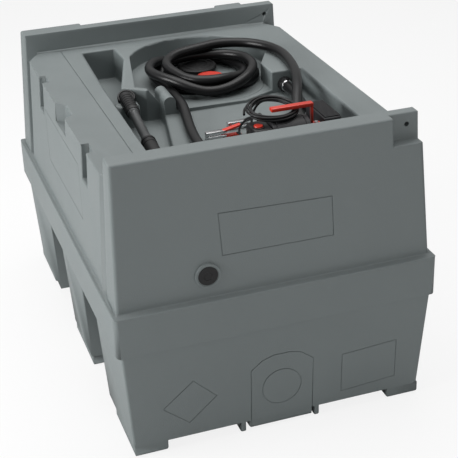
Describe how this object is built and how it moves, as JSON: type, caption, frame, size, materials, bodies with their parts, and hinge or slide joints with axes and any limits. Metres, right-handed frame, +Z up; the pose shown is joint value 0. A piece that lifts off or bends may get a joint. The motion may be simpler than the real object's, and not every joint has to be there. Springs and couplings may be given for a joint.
{
  "type": "portable diesel tank with pump kit",
  "caption": "Moulded grey diesel tank with fork channels, end panels and an open top recess that holds a pump, a coiled hose, a nozzle and battery clips.",
  "frame": {"origin": "middle of the footprint, at the level the feet stand on", "axes": "+Z up, +Y from the front end panel to the rear one along the length, +X to the right seen from the front"},
  "size_m": [0.8, 1.124, 0.745],
  "materials": {
    "tank_plastic": "matte rotomoulded polyethylene, faintly pebbled",
    "plug_plastic": "matte",
    "black_plastic": "satin",
    "red_plastic": "satin",
    "pump_paint": "satin, textured",
    "steel": "brushed",
    "chrome": "bright",
    "nozzle_grey": "satin",
    "black_rubber": "smooth, slight sheen",
    "cable_rubber": "smooth"
  },
  "bodies": {
    "tank": {"front_leg": "tank_plastic", "middle_leg": "tank_plastic", "rear_leg": "tank_plastic", "feet": "tank_plastic", "rim_band": "tank_plastic", "channel_roofs": "tank_plastic", "front_panel": "tank_plastic", "rear_panel": "tank_plastic", "left_wall": "tank_plastic", "right_wall": "tank_plastic", "deck": "tank_plastic", "hose_well": "tank_plastic", "pump_bay": "tank_plastic", "nozzle_trench": "tank_plastic", "recess_divider": "tank_plastic", "nozzle_cradle": "tank_plastic", "side_plug": "plug_plastic", "filler_neck": "tank_plastic", "gauge_base": "black_plastic", "gauge_cover": "red_plastic", "pump_plate": "pump_paint", "pump_motor": "pump_paint", "switch_box": "black_plastic", "pump_case": "pump_paint", "pump_cover": "pump_paint", "hose_barbs": "black_plastic", "valve_stem": "steel", "suction_nut": "black_plastic", "suction_ring": "chrome", "nozzle_end_cap": "black_rubber", "nozzle_sleeve": "black_rubber", "nozzle_spout": "nozzle_grey", "nozzle_collar": "black_plastic", "nozzle_body": "black_plastic", "hose_ferrule": "chrome", "feed_hose": "black_rubber", "nozzle_hose": "black_rubber", "hose_coil": "black_rubber", "suction_hose": "black_rubber", "switch_lead": "cable_rubber", "cable_coil": "cable_rubber", "red_lead": "cable_rubber", "black_lead": "cable_rubber", "red_clip_lower": "red_plastic", "black_clip_lower": "black_plastic"},
    "filler_cap": {"filler_cap": "black_plastic"},
    "valve_lever": {"valve_lever": "red_plastic"},
    "power_switch": {"power_switch": "red_plastic"},
    "red_clip_upper": {"red_clip_upper": "red_plastic"},
    "black_clip_upper": {"black_clip_upper": "black_plastic"}
  },
  "joints": [
    {"name": "filler_cap_turn", "type": "hinge", "parent": "tank", "child": "filler_cap", "pos_m": [0.071, 0.262, 0.654], "axis": [0, 0, 1], "range_deg": [0, 360]},
    {"name": "valve_lever_turn", "type": "hinge", "parent": "tank", "child": "valve_lever", "pos_m": [0.186, -0.323, 0.686], "axis": [0, 0, 1], "range_deg": [0, 90]},
    {"name": "power_switch_rock", "type": "hinge", "parent": "tank", "child": "power_switch", "pos_m": [0.033, -0.336, 0.703], "axis": [0, 1, 0], "range_deg": [-7, 7]},
    {"name": "red_clip_open", "type": "hinge", "parent": "tank", "child": "red_clip_upper", "pos_m": [-0.009, -0.192, 0.638], "axis": [0, 1, 0], "range_deg": [0, 16], "stiffness_Nm_per_rad": 0.6, "springref_deg": -17.19},
    {"name": "black_clip_open", "type": "hinge", "parent": "tank", "child": "black_clip_upper", "pos_m": [0.062, -0.15, 0.638], "axis": [0, 1, 0], "range_deg": [0, 16], "stiffness_Nm_per_rad": 0.6, "springref_deg": -17.19}
  ]
}
